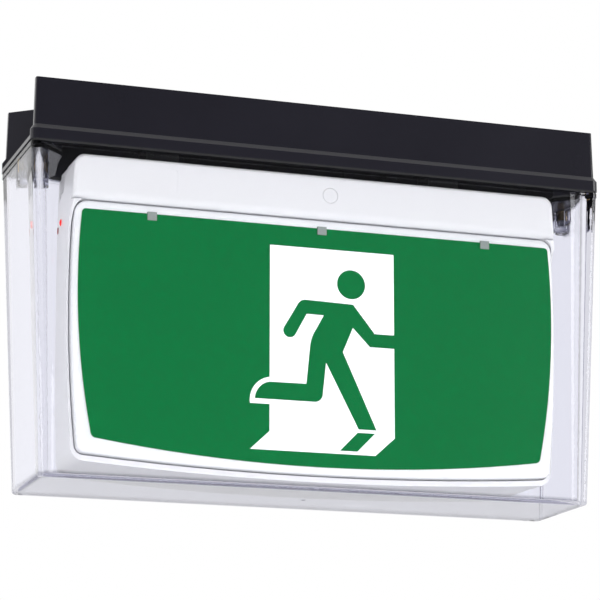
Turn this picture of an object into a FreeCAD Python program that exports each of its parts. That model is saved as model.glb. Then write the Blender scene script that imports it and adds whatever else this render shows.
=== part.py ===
import FreeCAD, Part
import math
import os

# Weatherproof emergency exit light: a black tray that fixes to a ceiling, a deep clear cover hung
# under it, and a white lit sign inside. Millimetres. The origin is the mouth of the cable entry on
# the ceiling face, +X to the sign's right, -Y to its front, +Z up.

# fits: a screw in its thread, a screw through a hole, a post into its wall, a cutter past a face
thread_gap = 0.05
shank_gap = 0.2
post_root = 0.5
past = 1.0

# tray
flange_length = 436.0
flange_width = 102.0
flange_radius = 5.0
lip_height = 7.5
slope_height = 3.5
slope_inset = 2.5
tray_height = 46.0
tray_draft = 0.75
tray_wall = 2.6
tray_top = 3.0
tray_inner_radius = 1.5
notch_mouth_margin = 7.5
notch_back_margin = 26.0
notch_depth = 22.0
notch_floor = 3.0
rib_thickness = 2.0
rib_drop = 8.0
rib_end_gap = 38.0
rib_count = 4
entry_radius = 10.25
entry_collar = 3.0
entry_length = 8.0
fixing_spacing_x = 300.0
fixing_spacing_y = 56.0
fixing_radius = 2.75
fixing_boss = 6.0
fixing_depth = 9.0

# gasket
gasket_thickness = 1.5
gasket_inset = 1.0

# clear cover
cover_height = 236.5
rim_thickness = 3.0
rim_inset = 0.5
cover_top_inset = 0.8
cover_taper_length = 12.5
cover_taper_width = 6.0
cover_radius = 4.5
cover_inner_radius_top = 19.0
cover_inner_radius_low = 10.0
cover_wall = 2.8
cover_floor = 3.0
cover_edge = 2.2
gate_radius = 1.6
gate_depth = 0.4

# cover screws
screw_inset = 8.0
screw_radius = 2.5
screw_head_radius = 4.4
screw_head_height = 4.2
screw_crown = 0.8
screw_socket = 2.2
screw_socket_depth = 2.1
screw_length = 20.0
screw_clearance = 0.3
drive_width = 0.45
drive_depth = 0.45
washer_radius = 5.4
washer_thickness = 1.0
insert_radius = 3.4
insert_length = 10.0
boss_radius = 5.6
boss_length = 17.0
gusset_reach = 18.0
gusset_height = 12.0
gusset_thickness = 1.6

# white sign body
body_gap = 5.0
body_low_gap = 5.0
body_side_gap = 16.5
body_back_gap = 6.2
body_swell_top = 2.7
body_swell_low = 5.7
body_bow = 7.0
body_radius_top = 8.0
body_radius_low = 10.0
head_proud = 0.5
rim_depth = 8.5
frame_depth = 25.0
body_wall = 2.2
body_edge = 7.0
head_edge = 3.0
head_bend_start = 32.0
head_bend_end = 52.0
head_roll = 6.0
head_bend_ease = 0.3
split_step = 0.5

# lens and legend
seam_drop = 32.7
seam_rim_top = 0.4
seam_rim_side = 1.6
seam_rim_corner = 2.2
seam_rim_low = 3.8
seam_radius_top = 10.0
seam_radius_low = 7.0
lens_gap = 0.9
lens_cover_gap = 2.2
lens_wall = 2.0
lens_roll = 4.2
lens_depth = 13.0
ledge_depth = 3.0
ledge_width = 2.5
legend_thickness = 0.8
legend_side_top = 5.3
legend_side_mid = 6.8
legend_side_low = 12.1
legend_top_drop = 7.8
legend_corner_rise = 11.0
legend_bottom_rise = 5.6
legend_radius_top = 3.0
legend_radius_low = 4.0
print_thickness = 0.2
print_top_margin = 15.2
print_low_margin = 9.9
print_grid = 150.0
clip_width = 6.8
clip_height = 6.0
clip_thickness = 1.0
clip_hook = 1.2
clip_gap = 0.1
clip_spacing = 127.5
plug_radius = 5.7
plug_gap = 0.15
plug_x = 6.8
plug_drop = 15.0
plug_length = 6.0
plug_wall = 1.2
plug_rounding = 0.5
badge_length = 36.0
badge_height = 19.0
badge_radius = 3.0
badge_depth = 0.25
badge_x = -126.5
badge_drop = 15.6

# left end of the sign body: vents, lamp and button
vent_count = 6
vent_pitch = 2.4
vent_height = 1.2
vent_rounding = 0.5
vent_front_gap = 7.0
vent_back_gap = 12.0
vent_drop = 7.5
controls_drop = 42.7
controls_seat_gap = 0.3
indicator_split_gap = 11.0
indicator_radius = 2.9
indicator_flange = 3.8
indicator_length = 9.0
button_back_gap = 16.0
button_radius = 2.5
button_gap = 0.2
button_proud = 1.4
button_flange = 3.2
button_flange_thickness = 1.2
button_stem = 3.0
button_travel = 1.5
switch_size = 8.0
switch_gap = 0.4

# inner works
guide_side_gap = 18.2
guide_thickness = 4.0
guide_setback = 18.0
guide_top_drop = 41.0
guide_low_gap = 21.0
reflector_thickness = 0.5
chassis_side_gap = 15.2
chassis_thickness = 1.0
chassis_top_drop = 9.0
chassis_low_gap = 19.0
chassis_lip = 9.0
chassis_shelf = 9.0
led_board_thickness = 1.2
led_count = 24
led_size = 3.0
led_height = 0.8
led_gap = 0.2
post_radius = 4.0
post_inset = 21.0
post_high_drop = 20.0
post_low_rise = 10.0
small_screw_radius = 1.5
small_head_radius = 2.9
small_head_height = 2.0
small_screw_length = 9.0
cell_radius = 9.3
cell_length = 66.0
cell_count = 3
wrap_thickness = 0.4
wrap_crease = 1.2
wrap_rounding = 1.5
battery_drop = 62.0
battery_x = 20.0
strap_width = 14.0
strap_thickness = 1.6
strap_foot = 9.0
strap_offset = 62.0
board_length = 150.0
board_grid = 150.0
board_height = 62.0
board_thickness = 1.6
board_rise = 56.0
board_x = -40.0
standoff_height = 6.0
standoff_radius = 3.0
standoff_inset = 6.0
terminal_length = 40.0
terminal_height = 14.0
terminal_depth = 16.0
terminal_x = 70.0
terminal_drop = 20.0
terminal_ways = 4
terminal_step = 3.0
terminal_screw_radius = 2.8
terminal_screw_depth = 5.0
terminal_mouth = 6.0
terminal_mouth_depth = 5.0
supply_hole_radius = 8.0

# hanger brackets between tray and sign body
hanger_x = 110.0
hanger_length = 24.0
hanger_thickness = 1.5
hanger_web = 24.0
hanger_foot = 8.0
hanger_boss_drop = 30.0
hanger_boss_radius = 4.5
hanger_boss_spacing = 12.0
hanger_screw_radius = 1.8
hanger_head_radius = 3.4
hanger_head_height = 2.2
hanger_screw_length = 10.0

# places that follow from the sizes above
split_z = -tray_height
rim_top = split_z - gasket_thickness
rim_low = rim_top - rim_thickness
cover_low = rim_top - cover_height
lip_top = split_z + lip_height
slope_top = lip_top + slope_height
wall_length = flange_length - 2 * slope_inset
wall_width = flange_width - 2 * slope_inset
wall_radius = flange_radius - slope_inset
top_length = wall_length - 2 * tray_draft
top_width = wall_width - 2 * tray_draft
top_radius = wall_radius - tray_draft
notch_mouth = flange_width - 2 * notch_mouth_margin
notch_back = flange_width - 2 * notch_back_margin
rib_spacing = (flange_length - 2 * rib_end_gap) / (rib_count - 1)
screw_x = flange_length / 2 - screw_inset
floor_top = split_z + notch_floor
cover_length_low = flange_length - 2 * cover_taper_length
cover_width_low = flange_width - 2 * cover_taper_width
cover_inner_depth = cover_width_low / 2 - cover_wall

body_top = split_z - body_gap
body_drop = body_top - cover_low - cover_floor - body_low_gap
body_corner_drop = body_drop - body_bow
body_half_mid = cover_length_low / 2 - cover_wall - body_side_gap
body_half_top = body_half_mid - body_swell_top
body_half_low = body_half_mid - body_swell_low
body_back = cover_inner_depth - body_back_gap
lens_front = lens_cover_gap - cover_inner_depth
lens_seat = lens_front + lens_depth
body_front = lens_front - head_proud
rim_front = lens_front + rim_depth
split_y = lens_front + frame_depth
legend_top = body_top - seam_drop - legend_top_drop
legend_low = body_top - body_drop + seam_rim_low + legend_bottom_rise
print_height = legend_top - print_top_margin - legend_low - print_low_margin
cavity_back = body_back - body_wall
controls_z = body_top - controls_drop
indicator_y = split_y + indicator_split_gap
button_y = body_back - button_back_gap

guide_half = body_half_mid - guide_side_gap
guide_front = lens_front + guide_setback
guide_low = body_top - body_drop + guide_low_gap
chassis_half = body_half_mid - chassis_side_gap
chassis_low = body_top - body_drop + chassis_low_gap
chassis_front = guide_front + guide_thickness + reflector_thickness
chassis_back = chassis_front + chassis_thickness
post_x = chassis_half - post_inset
board_z = chassis_low + board_rise

hanger_web_z = -hanger_boss_drop
hanger_y = (split_y + body_back - body_edge) / 2
hanger_front_y = hanger_y - hanger_web / 2
hanger_back_y = hanger_y + hanger_web / 2

EX, EY, EZ = FreeCAD.Vector(1, 0, 0), FreeCAD.Vector(0, 1, 0), FreeCAD.Vector(0, 0, 1)


def vec(x, y, z):
    return FreeCAD.Vector(x, y, z)


def box(x0, x1, y0, y1, z0, z1):
    return Part.makeBox(x1 - x0, y1 - y0, z1 - z0, vec(x0, y0, z0))


def rod(radius, start, end):
    axis = vec(*end) - vec(*start)
    return Part.makeCylinder(radius, axis.Length, vec(*start), axis)


def fuse_all(shapes):
    joined = shapes[0]
    for shape in shapes[1:]:
        joined = joined.fuse(shape)
    return joined.removeSplitter()


def rounded_outline(length, width, radius, z):
    """Closed outline of a rounded rectangle centred on the Z axis."""
    a, b = length / 2, width / 2
    centres = [(a - radius, b - radius, 0), (radius - a, b - radius, 90),
               (radius - a, radius - b, 180), (a - radius, radius - b, 270)]
    edges = []
    ends = []
    for cx, cy, start in centres:
        points = [vec(cx + radius * math.cos(math.radians(start + turn)),
                      cy + radius * math.sin(math.radians(start + turn)), z) for turn in (0, 45, 90)]
        ends.append((points[0], points[2]))
        edges.append(Part.Arc(*points).toShape())
    sides = []
    for index in range(4):
        sides.append(Part.LineSegment(ends[index][1], ends[(index + 1) % 4][0]).toShape())
    ordered = []
    for arc, side in zip(edges, sides):
        ordered += [arc, side]
    return Part.Wire(ordered)


def rounded_block(length, width, radius, z0, z1):
    face = Part.Face(rounded_outline(length, width, radius, z0))
    return face.extrude(vec(0, 0, z1 - z0))


def tapered_block(low, high, z0, z1):
    """Block between two rounded rectangles, each given as length, width, radius."""
    return Part.makeLoft([rounded_outline(*low, z0), rounded_outline(*high, z1)], True, True)


def notch_block(grow, z0, z1):
    """Both end recesses of the tray, widened on their inner sides by grow."""
    slant = math.hypot(notch_depth, (notch_mouth - notch_back) / 2)
    side = grow * slant / notch_depth
    rise = (notch_mouth - notch_back) / 2 / notch_depth
    reach = flange_length / 2
    end = wall_length / 2
    blocks = []
    for sign in (1, -1):
        inner = end - notch_depth - grow
        half_inner = notch_back / 2 + side - grow * rise
        half_outer = notch_mouth / 2 + side + (reach - end) * rise
        outline = [(inner, half_inner), (reach, half_outer), (reach, -half_outer), (inner, -half_inner)]
        points = [vec(sign * x, y, z0) for x, y in outline]
        face = Part.Face(Part.makePolygon(points + points[:1]))
        blocks.append(face.extrude(vec(0, 0, z1 - z0)))
    return blocks[0].fuse(blocks[1])


def barrel_half(half_top, half_mid, half_low, z_top, z_corner, z):
    """Half-width of a barrel outline at height z, on the arc through its three given widths."""
    arc = Part.Arc(vec(half_top, 0, z_top), vec(half_mid, 0, (z_top + z_corner) / 2),
                   vec(half_low, 0, z_corner))
    circle = arc.toShape().Curve
    return circle.Center.x + math.sqrt(circle.Radius ** 2 - (z - circle.Center.z) ** 2)


def barrel(half_top, half_mid, half_low, z_top, z_corner, z_low, radii, y0, y1):
    """Prism along Y with a straight top, bowed sides and a bowed bottom; radii are top and low."""
    z_mid = (z_top + z_corner) / 2
    top_left, top_right = vec(-half_top, y0, z_top), vec(half_top, y0, z_top)
    low_right, low_left = vec(half_low, y0, z_corner), vec(-half_low, y0, z_corner)
    wire = Part.Wire([
        Part.LineSegment(top_left, top_right).toShape(),
        Part.Arc(top_right, vec(half_mid, y0, z_mid), low_right).toShape(),
        Part.Arc(low_right, vec(0, y0, z_low), low_left).toShape(),
        Part.Arc(low_left, vec(-half_mid, y0, z_mid), top_left).toShape()])
    prism = Part.Face(wire).extrude(vec(0, y1 - y0, 0))
    for radius, level in ((radii[0], z_top), (radii[1], z_corner)):
        corners = [edge for edge in prism.Edges
                   if abs(edge.BoundBox.ZMax - level) < 0.01 and edge.BoundBox.ZLength < 0.01
                   and edge.BoundBox.XLength < 0.01]
        if radius > 0:
            prism = prism.makeFillet(radius, corners)
    return prism


def body_barrel(inset, y0, y1):
    """The sign body's outline, shrunk by inset."""
    return barrel(body_half_top - inset, body_half_mid - inset, body_half_low - inset,
                  body_top - inset, body_top - body_corner_drop + inset,
                  body_top - body_drop + inset,
                  (body_radius_top - inset, body_radius_low - inset), y0, y1)


def seam_barrel(inset, y0, y1):
    """The outline of the seam round the lens, shrunk by inset."""
    return barrel(body_half_top - seam_rim_top - inset, body_half_mid - seam_rim_side - inset,
                  body_half_low - seam_rim_corner - inset, body_top - seam_drop - inset,
                  body_top - body_corner_drop + seam_rim_low + inset,
                  body_top - body_drop + seam_rim_low + inset,
                  (seam_radius_top - inset, seam_radius_low - inset), y0, y1)


def body_side(z):
    return barrel_half(body_half_top, body_half_mid, body_half_low, body_top,
                       body_top - body_corner_drop, z)


def edges_at_y(shape, y):
    return [edge for edge in shape.Edges
            if abs(edge.BoundBox.YMin - y) < 0.01 and abs(edge.BoundBox.YMax - y) < 0.01]


def screw_group(places, radius, length, head_radius, head_height, direction):
    """Cheese-head screws; each place is where the underside of the head sits."""
    screws = []
    for place in places:
        seat = vec(*place)
        shank = Part.makeCylinder(radius, length, seat, direction)
        head = Part.makeCylinder(head_radius, head_height, seat, direction * -1)
        socket_depth = head_height * drive_depth
        tip = seat - direction * head_height
        drive = Part.makeCylinder(head_radius * drive_width, socket_depth, tip, direction)
        screws.append(shank.fuse(head).cut(drive).removeSplitter())
    return Part.makeCompound(screws)


# tray -----------------------------------------------------------------------------------------

def fixing_places():
    return [(sx * fixing_spacing_x / 2, sy * fixing_spacing_y / 2) for sx in (-1, 1) for sy in (-1, 1)]


def hanger_boss_places():
    offset = hanger_boss_spacing / 2
    return [(sx * hanger_x, hanger_y + sy * offset) for sx in (-1, 1) for sy in (-1, 1)]


def tray_cavity(z0, z1):
    """Space inside the tray walls, clear of the end recesses."""
    low = (wall_length - 2 * tray_wall, wall_width - 2 * tray_wall, tray_inner_radius)
    high = (top_length - 2 * tray_wall, top_width - 2 * tray_wall, tray_inner_radius)
    return tapered_block(low, high, z0, z1).cut(notch_block(tray_wall, z0 - past, z1 + past))


def make_base_tray():
    lip = rounded_block(flange_length, flange_width, flange_radius, split_z, lip_top)
    slope = tapered_block((flange_length, flange_width, flange_radius),
                          (wall_length, wall_width, wall_radius), lip_top, slope_top)
    walls = tapered_block((wall_length, wall_width, wall_radius),
                          (top_length, top_width, top_radius), slope_top, 0)
    shell = fuse_all([lip, slope, walls])
    shell = shell.cut(tray_cavity(split_z, -tray_top))
    shell = shell.cut(notch_block(0, floor_top, past))
    parts = [shell, rod(entry_radius + entry_collar, (0, 0, -entry_length), (0, 0, -tray_top / 2))]
    for x, y in fixing_places():
        parts.append(rod(fixing_boss, (x, y, -fixing_depth), (x, y, -tray_top / 2)))
    for x, y in hanger_boss_places():
        parts.append(rod(hanger_boss_radius, (x, y, hanger_web_z), (x, y, -tray_top / 2)))
    for index in range(rib_count):
        x = (index - (rib_count - 1) / 2) * rib_spacing
        rib = box(x - rib_thickness / 2, x + rib_thickness / 2, -wall_width / 2 + tray_wall / 2,
                  wall_width / 2 - tray_wall / 2, -tray_top - rib_drop, -tray_top / 2)
        parts.append(rib)
    tray = fuse_all(parts)
    holes = [rod(entry_radius, (0, 0, -entry_length - past), (0, 0, 1))]
    for x, y in fixing_places():
        holes.append(rod(fixing_radius, (x, y, -fixing_depth - past), (x, y, 1)))
    for x, y in hanger_boss_places():
        depth = hanger_screw_length + screw_clearance - hanger_thickness
        holes.append(rod(hanger_screw_radius + thread_gap, (x, y, hanger_web_z - past),
                         (x, y, hanger_web_z + depth)))
    for x in (-screw_x, screw_x):
        holes.append(rod(screw_radius + screw_clearance, (x, 0, split_z - past), (x, 0, floor_top + past)))
    return tray.cut(Part.makeCompound(holes)).removeSplitter()


def make_tray_gasket():
    outer = rounded_block(flange_length - 2 * gasket_inset, flange_width - 2 * gasket_inset,
                          flange_radius - gasket_inset, rim_top, split_z)
    gasket = outer.cut(tray_cavity(rim_top - past, split_z + past))
    for x in (-screw_x, screw_x):
        gasket = gasket.cut(rod(screw_radius + screw_clearance, (x, 0, rim_top - past),
                                (x, 0, split_z + past)))
    return gasket


# clear cover ------------------------------------------------------------------------------------

def cover_block(inset, radius_top, radius_low, z0, z1):
    """The cover's tapering outline, shrunk by inset, between two heights; radii are top and low."""
    length_top = flange_length - 2 * cover_top_inset
    width_top = flange_width - 2 * cover_top_inset
    rows = []
    for z in (z0, z1):
        share = (rim_top - z) / cover_height
        rows.append((length_top + (cover_length_low - length_top) * share - 2 * inset,
                     width_top + (cover_width_low - width_top) * share - 2 * inset,
                     radius_top + (radius_low - radius_top) * share))
    return tapered_block(rows[0], rows[1], z0, z1)


def make_clear_cover():
    body = cover_block(0, cover_radius, cover_radius, cover_low, rim_top)
    bottom = [edge for edge in body.Edges if abs(edge.BoundBox.ZMax - cover_low) < 0.01]
    body = body.makeFillet(cover_edge, bottom)
    rim = rounded_block(flange_length - 2 * rim_inset, flange_width - 2 * rim_inset,
                        flange_radius - rim_inset, rim_low, rim_top)
    cavity = cover_block(cover_wall, cover_inner_radius_top, cover_inner_radius_low,
                         cover_low + cover_floor, rim_top + past)
    shell = body.fuse(rim).cut(cavity)
    within = cover_block(cover_wall / 2, cover_radius, cover_radius, cover_low + cover_floor, rim_top)
    shelf = notch_block(tray_wall, rim_low, rim_top).common(within)
    parts = [shell, shelf]
    for sign in (-1, 1):
        x = sign * screw_x
        boss = rod(boss_radius, (x, 0, rim_low - boss_length), (x, 0, rim_top))
        gusset = box(x - gusset_thickness / 2, x + gusset_thickness / 2, -gusset_reach, gusset_reach,
                     rim_low - gusset_height, rim_low + rim_thickness / 2)
        parts += [boss.common(within), gusset.common(within)]
    cover = fuse_all(parts)
    for sign in (-1, 1):
        x = sign * screw_x
        cover = cover.cut(rod(insert_radius, (x, 0, rim_top - insert_length), (x, 0, rim_top + past)))
        pilot_end = floor_top + washer_thickness - screw_length - screw_clearance
        cover = cover.cut(rod(screw_radius + screw_clearance, (x, 0, pilot_end), (x, 0, rim_top + past)))
    gate = rod(gate_radius, (0, 0, cover_low - past), (0, 0, cover_low + gate_depth))
    return cover.cut(gate)


def make_cover_screws():
    screws = []
    for x in (-screw_x, screw_x):
        seat = floor_top + washer_thickness
        head = rod(screw_head_radius, (x, 0, seat), (x, 0, seat + screw_head_height))
        crown = [edge for edge in head.Edges if abs(edge.BoundBox.ZMin - seat - screw_head_height) < 0.01]
        head = head.makeFillet(screw_crown, crown)
        socket = []
        for turn in range(6):
            angle = math.radians(60 * turn)
            socket.append(vec(x + screw_socket * math.cos(angle), screw_socket * math.sin(angle),
                              seat + screw_head_height))
        drive = Part.Face(Part.makePolygon(socket + socket[:1])).extrude(vec(0, 0, -screw_socket_depth))
        shank = rod(screw_radius, (x, 0, seat - screw_length), (x, 0, seat))
        screws.append(head.cut(drive).fuse(shank).removeSplitter())
    return Part.makeCompound(screws)


def make_ring_pair(outer, inner, z0, z1):
    rings = [rod(outer, (x, 0, z0), (x, 0, z1)).cut(rod(inner, (x, 0, z0 - past), (x, 0, z1 + past)))
             for x in (-screw_x, screw_x)]
    return Part.makeCompound(rings)


# white sign body --------------------------------------------------------------------------------

def head_profile():
    """Side profile of the front frame: deep head above, shallower rims beside the lens."""
    z_top, z_low = body_top + past, body_top - body_drop - past
    bend_high, bend_low = body_top - head_bend_start, body_top - head_bend_end
    z_bend = (bend_high + bend_low) / 2
    y_mid = (body_front + rim_front) / 2
    front = body_front - past
    back = split_y + past
    quarter = (bend_high - bend_low) / 4
    shift = (rim_front - body_front) / 2
    upper = Part.Arc(vec(0, body_front, bend_high),
                     vec(0, body_front + shift * head_bend_ease, bend_high - quarter), vec(0, y_mid, z_bend))
    lower = Part.Arc(vec(0, y_mid, z_bend),
                     vec(0, rim_front - shift * head_bend_ease, bend_low + quarter),
                     vec(0, rim_front, bend_low))
    wire = Part.Wire([
        upper.toShape(), lower.toShape(),
        Part.LineSegment(vec(0, rim_front, bend_low), vec(0, rim_front, z_low)).toShape(),
        Part.LineSegment(vec(0, rim_front, z_low), vec(0, back, z_low)).toShape(),
        Part.LineSegment(vec(0, back, z_low), vec(0, back, z_top)).toShape(),
        Part.LineSegment(vec(0, back, z_top), vec(0, front, z_top)).toShape(),
        Part.LineSegment(vec(0, front, z_top), vec(0, front, bend_high)).toShape(),
        Part.LineSegment(vec(0, front, bend_high), vec(0, body_front, bend_high)).toShape()])
    profile = Part.Face(wire).extrude(vec(2 * flange_length, 0, 0))
    profile.translate(vec(-flange_length, 0, 0))
    return profile


def make_front_frame():
    block = body_barrel(0, body_front, split_y)
    block = block.makeFillet(head_edge, edges_at_y(block, body_front))
    block = block.common(head_profile())
    head_low = body_top - seam_drop
    wide = 2 * body_half_mid
    roll = box(-wide, wide, body_front - past, body_front + head_roll, head_low - past,
               head_low + head_roll)
    roll = roll.cut(rod(head_roll, (-wide, body_front + head_roll, head_low + head_roll),
                        (wide, body_front + head_roll, head_low + head_roll)))
    block = block.cut(roll)
    frame = block.cut(seam_barrel(0, body_front - past, lens_seat))
    frame = frame.cut(seam_barrel(ledge_width, lens_seat - past, lens_seat + ledge_depth))
    frame = frame.cut(body_barrel(body_wall, lens_seat + ledge_depth, split_y + past))
    hollow = body_barrel(body_wall, body_front + body_wall, split_y + past)
    hollow = hollow.common(box(-wide, wide, body_front, split_y + 2 * past, head_low + body_wall,
                               body_top + past))
    frame = frame.cut(hollow)
    badge = box(badge_x - badge_length / 2, badge_x + badge_length / 2, body_front - past,
                body_front + badge_depth, body_top - badge_drop - badge_height / 2,
                body_top - badge_drop + badge_height / 2)
    corners = [edge for edge in badge.Edges if edge.BoundBox.YLength > badge_depth]
    badge = badge.makeFillet(badge_radius, corners)
    plug_z = body_top - plug_drop
    bore = rod(plug_radius + plug_gap, (plug_x, body_front - past, plug_z),
               (plug_x, body_front + body_wall + past, plug_z))
    return frame.cut(badge).cut(bore).removeSplitter()


def make_centre_plug():
    z = body_top - plug_drop
    disc = rod(plug_radius, (plug_x, body_front, z), (plug_x, body_front + plug_length, z))
    face = [edge for edge in disc.Edges if edge.BoundBox.YMax < body_front + 0.01]
    collar = rod(plug_radius + plug_wall, (plug_x, body_front + body_wall, z),
                 (plug_x, body_front + body_wall + plug_wall, z))
    hollow = rod(plug_radius - plug_wall, (plug_x, body_front + body_wall, z),
                 (plug_x, body_front + plug_length + past, z))
    return disc.makeFillet(plug_rounding, face).fuse(collar).cut(hollow).removeSplitter()


def make_rear_housing():
    shell = body_barrel(split_step, split_y, body_back)
    shell = shell.makeFillet(body_edge, edges_at_y(shell, body_back))
    hollow = body_barrel(body_wall, split_y - past, cavity_back)
    hollow = hollow.makeFillet(body_edge - body_wall, edges_at_y(hollow, cavity_back))
    housing = shell.cut(hollow)
    posts = []
    for x in (-post_x, post_x):
        for z in (body_top - post_high_drop, chassis_low + post_low_rise):
            posts.append(rod(post_radius, (x, chassis_back, z), (x, cavity_back + post_root, z)))
    switch_post = box(-switch_face(), switch_size - switch_face(),
                      button_y + switch_size / 2, cavity_back + post_root,
                      controls_z - switch_size / 2, controls_z + switch_size / 2)
    housing = fuse_all([housing, switch_post] + posts)
    cuts = []
    for index in range(vent_count):
        z = body_top - vent_drop - index * vent_pitch
        slot = box(-body_side(z) - past, 2 * body_wall - body_side(z), split_y + vent_front_gap,
                   body_back - vent_back_gap, z - vent_height, z)
        slot = slot.makeFillet(vent_rounding, [e for e in slot.Edges if e.BoundBox.XLength > body_wall])
        cuts.append(slot)
    outer, inner = -body_side(controls_z) - past, 2 * body_wall - body_side(controls_z)
    cuts.append(rod(indicator_radius + thread_gap, (outer, indicator_y, controls_z),
                    (inner, indicator_y, controls_z)))
    cuts.append(rod(button_radius + button_gap, (outer, button_y, controls_z),
                    (inner, button_y, controls_z)))
    cuts.append(rod(supply_hole_radius, (0, hanger_y, body_top - body_wall - past),
                    (0, hanger_y, body_top + past)))
    for x, y in hanger_foot_places():
        cuts.append(rod(hanger_screw_radius + shank_gap, (x, y, body_top - body_wall - past),
                        (x, y, body_top + past)))
    for x in (-post_x, post_x):
        z = body_top - post_high_drop
        cuts.append(rod(small_screw_radius + thread_gap, (x, chassis_back - past, z),
                        (x, chassis_back + small_screw_length, z)))
    return housing.cut(Part.makeCompound(cuts)).removeSplitter()


def make_diffuser():
    lens = seam_barrel(lens_gap, lens_front, lens_seat)
    lens = lens.makeFillet(lens_roll, edges_at_y(lens, lens_front))
    hollow = seam_barrel(lens_gap + lens_wall, lens_front + lens_wall, lens_seat + past)
    hollow = hollow.makeFillet(lens_roll - lens_wall, edges_at_y(hollow, lens_front + lens_wall))
    return lens.cut(hollow).removeSplitter()


def legend_barrel(y0, y1):
    corner = body_top - body_corner_drop + seam_rim_low
    return barrel(body_half_top - legend_side_top, body_half_mid - legend_side_mid,
                  body_half_low - legend_side_low, legend_top, corner + legend_corner_rise,
                  legend_low, (legend_radius_top, legend_radius_low), y0, y1)


def make_legend_panel():
    return legend_barrel(lens_front - legend_thickness, lens_front)


def outline_face(steps, y, scale, x0, z0):
    """Face in the XZ plane; a step is an end point, or an arc's middle and end points."""
    def place(x, z):
        return vec(x0 + x * scale, y, z0 + z * scale)
    edges = []
    last = place(*steps[0][-1])
    for step in steps[1:] + steps[:1]:
        end = place(*step[-1])
        if len(step) == 2:
            edges.append(Part.Arc(last, place(*step[0]), end).toShape())
        else:
            edges.append(Part.LineSegment(last, end).toShape())
        last = end
    return Part.Face(Part.Wire(edges))


def make_legend_print():
    """White doorway with the running figure left out of it, on a grid 150 units tall."""
    doorway = [[(-39.4, 0)], [(55.4, 0)], [(55.2, -136)], [(40.3, -149.5)], [(-53.8, -149.5)],
               [(-39.4, -136)]]
    halo = [[(-49.6, -102.4), (-38, -96.8)], [(-38, -116.6)], [(-54, -116.6)]]
    figure = [[(-16.2, -39.8), (-12.6, -38.6)], [(23.9, -39.6)], [(40.4, -60.2)], [(60, -60.2)],
              [(60, -70.2)], [(36.6, -70.2)], [(23.6, -56.9)], [(15.9, -75.2)], [(41.4, -131)],
              [(27.6, -131)], [(3.1, -84)], [(0.6, -106.6)], [(-1.3, -111.2), (-6.2, -113)],
              [(-50.4, -113)], [(-46.8, -104.4), (-39.2, -100.4)], [(-11.9, -100.2)], [(-9, -72)],
              [(-7.4, -65.5), (-4.6, -60)], [(1.4, -49.2)], [(-11.6, -49)], [(-20.1, -64.6)],
              [(-26.8, -66.5), (-28.7, -59.8)], [(-18.8, -43.1)]]
    shadow = [[(26.9, -133.4)], [(40.2, -133.4)], [(26.6, -147.2)], [(13.3, -147.2)]]
    head_x, head_z, head_radius = 22.4, -24.9, 10.8
    scale = print_height / print_grid
    y = lens_front - legend_thickness
    z0 = legend_top - print_top_margin
    thick = vec(0, -print_thickness, 0)
    white = outline_face(doorway, y, scale, 0, z0).extrude(thick)
    white = white.fuse(outline_face(halo, y, scale, 0, z0).extrude(thick)).removeSplitter()
    for steps in (figure, shadow):
        white = white.cut(outline_face(steps, y, scale, 0, z0).extrude(thick))
    white = white.cut(rod(head_radius * scale, (head_x * scale, y - past, z0 + head_z * scale),
                          (head_x * scale, y + past, z0 + head_z * scale)))
    return Part.makeCompound(white.Solids)


def make_legend_clips():
    outer = lens_front - legend_thickness
    clips = []
    for index in (-1, 0, 1):
        x = index * clip_spacing
        tongue = box(x - clip_width / 2, x + clip_width / 2, outer - clip_thickness, outer,
                     legend_top - clip_height + clip_hook, legend_top + clip_hook)
        root = box(x - clip_width / 2, x + clip_width / 2, outer - clip_thickness, lens_front,
                   legend_top + clip_gap, legend_top + clip_hook)
        clips.append(tongue.fuse(root).removeSplitter())
    return Part.makeCompound(clips)


# inner works --------------------------------------------------------------------------------------

def make_light_guide():
    return box(-guide_half, guide_half, guide_front, guide_front + guide_thickness,
               guide_low, body_top - guide_top_drop)


def make_reflector():
    y = guide_front + guide_thickness
    return box(-guide_half, guide_half, y, y + reflector_thickness,
               guide_low, body_top - guide_top_drop)


def shelf_z():
    return body_top - guide_top_drop + led_height + led_board_thickness + led_gap


def make_led_strip():
    z = shelf_z()
    y_mid = guide_front + guide_thickness / 2
    board = box(-guide_half, guide_half, y_mid - chassis_shelf / 2, chassis_front,
                z - led_board_thickness, z)
    lamps = [board]
    pitch = 2 * guide_half / led_count
    for index in range(led_count):
        x = (index + 0.5) * pitch - guide_half
        lamps.append(box(x - led_size / 2, x + led_size / 2, y_mid - led_size / 2,
                         y_mid + led_size / 2, z - led_board_thickness - led_height,
                         z - led_board_thickness))
    return fuse_all(lamps)


def make_chassis_plate():
    top = body_top - chassis_top_drop
    plate = box(-chassis_half, chassis_half, chassis_front, chassis_back, chassis_low, top)
    flange_top = box(-chassis_half, chassis_half, chassis_front, chassis_back + chassis_lip,
                     top - chassis_thickness, top)
    shelf = box(-guide_half, guide_half, guide_front + guide_thickness / 2 - chassis_shelf / 2,
                chassis_front + chassis_thickness / 2, shelf_z(), shelf_z() + chassis_thickness)
    sheet = fuse_all([plate, flange_top, shelf])
    for x in (-post_x, post_x):
        z = body_top - post_high_drop
        sheet = sheet.cut(rod(small_screw_radius + shank_gap, (x, chassis_front - past, z),
                              (x, chassis_back + past, z)))
    return sheet.removeSplitter()


def make_chassis_screws():
    places = [(x, chassis_front, body_top - post_high_drop) for x in (-post_x, post_x)]
    return screw_group(places, small_screw_radius, small_screw_length, small_head_radius,
                       small_head_height, EY)


def battery_axis():
    return chassis_back + cell_radius + wrap_thickness, body_top - battery_drop


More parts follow.
